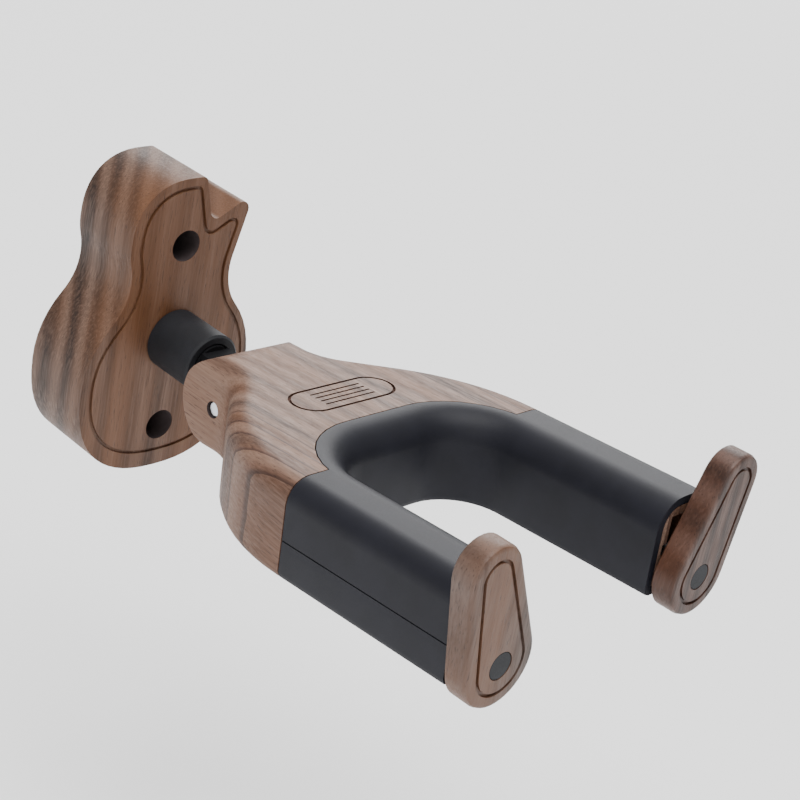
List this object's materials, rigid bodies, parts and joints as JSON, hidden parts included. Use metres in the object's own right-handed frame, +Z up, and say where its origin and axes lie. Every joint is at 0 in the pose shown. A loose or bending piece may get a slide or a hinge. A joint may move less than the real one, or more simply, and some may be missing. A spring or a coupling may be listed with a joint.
{
  "type": "guitar wall hanger",
  "caption": "Wooden guitar hanger: body-shaped wall base, swivel post, tilting rubber-sleeved fork and gates that swing across the neck slot as the fork tips down.",
  "frame": {"origin": "on the wall face of the base, on its centre line, 17 mm below the swivel axis", "axes": "+Z up the wall, +Y into the wall, so the hanger reaches along -Y; +X to the right seen from the room, the side of the base's cutaway"},
  "size_m": [0.1006, 0.1842, 0.0892],
  "materials": {
    "walnut": "satin oiled walnut",
    "post_black": "matte black coating",
    "nylon": "plain black nylon",
    "sleeve_rubber": "matte moulded rubber",
    "steel": "bright zinc plated",
    "spring_brass": "plain drawn wire",
    "plug_grey": "matte grey plug"
  },
  "bodies": {
    "wall_plate": {"wall_base": "walnut", "friction_washer": "nylon"},
    "swivel": {"rear_washer": "steel", "stud_nut": "steel", "swivel_stud": "steel", "post_cover": "post_black", "tilt_tongue": "post_black", "rod_spreader": "steel", "return_spring": "steel", "left_spreader_screw": "steel", "right_spreader_screw": "steel", "left_gate_rod": "steel", "right_gate_rod": "steel", "left_gate_screw": "steel", "right_gate_screw": "steel"},
    "fork": {"fork_body": "walnut", "fork_sleeve": "sleeve_rubber", "mechanism_cover": "post_black", "tilt_pin": "steel", "left_pin_washer": "nylon", "right_pin_washer": "nylon", "cover_screw_1": "steel", "cover_screw_2": "steel", "cover_screw_3": "steel", "cover_screw_4": "steel", "cover_screw_5": "steel"},
    "left_gate_arm": {"left_gate": "walnut", "left_gate_plug": "plug_grey", "left_drive_pin": "steel", "left_gate_spring": "spring_brass"},
    "right_gate_arm": {"right_gate": "walnut", "right_gate_plug": "plug_grey", "right_drive_pin": "steel", "right_gate_spring": "spring_brass"}
  },
  "joints": [
    {"name": "post_swivel", "type": "hinge", "parent": "wall_plate", "child": "swivel", "pos_m": [0, -0.033, 0.017], "axis": [0, -1, 0], "range_deg": [-30, 30]},
    {"name": "fork_tilt", "type": "hinge", "parent": "swivel", "child": "fork", "pos_m": [0, -0.0625, 0.017], "axis": [1, 0, 0], "range_deg": [0, 5.25], "stiffness_Nm_per_rad": 2, "springref_deg": -14.32, "deforming": ["return_spring"]},
    {"name": "left_gate_swing", "type": "hinge", "parent": "swivel", "child": "left_gate_arm", "pos_m": [-0.0358, -0.18039, 0.02222], "axis": [0, 0.9986, -0.0523], "range_deg": [0, 107]},
    {"name": "right_gate_swing", "type": "hinge", "parent": "swivel", "child": "right_gate_arm", "pos_m": [0.0358, -0.18039, 0.02222], "axis": [0, -0.9986, 0.0523], "range_deg": [0, 107]}
  ],
  "couplings": [
    {"joint": "left_gate_swing", "follows": "fork_tilt", "ratio": 20.324},
    {"joint": "right_gate_swing", "follows": "fork_tilt", "ratio": 20.324}
  ]
}
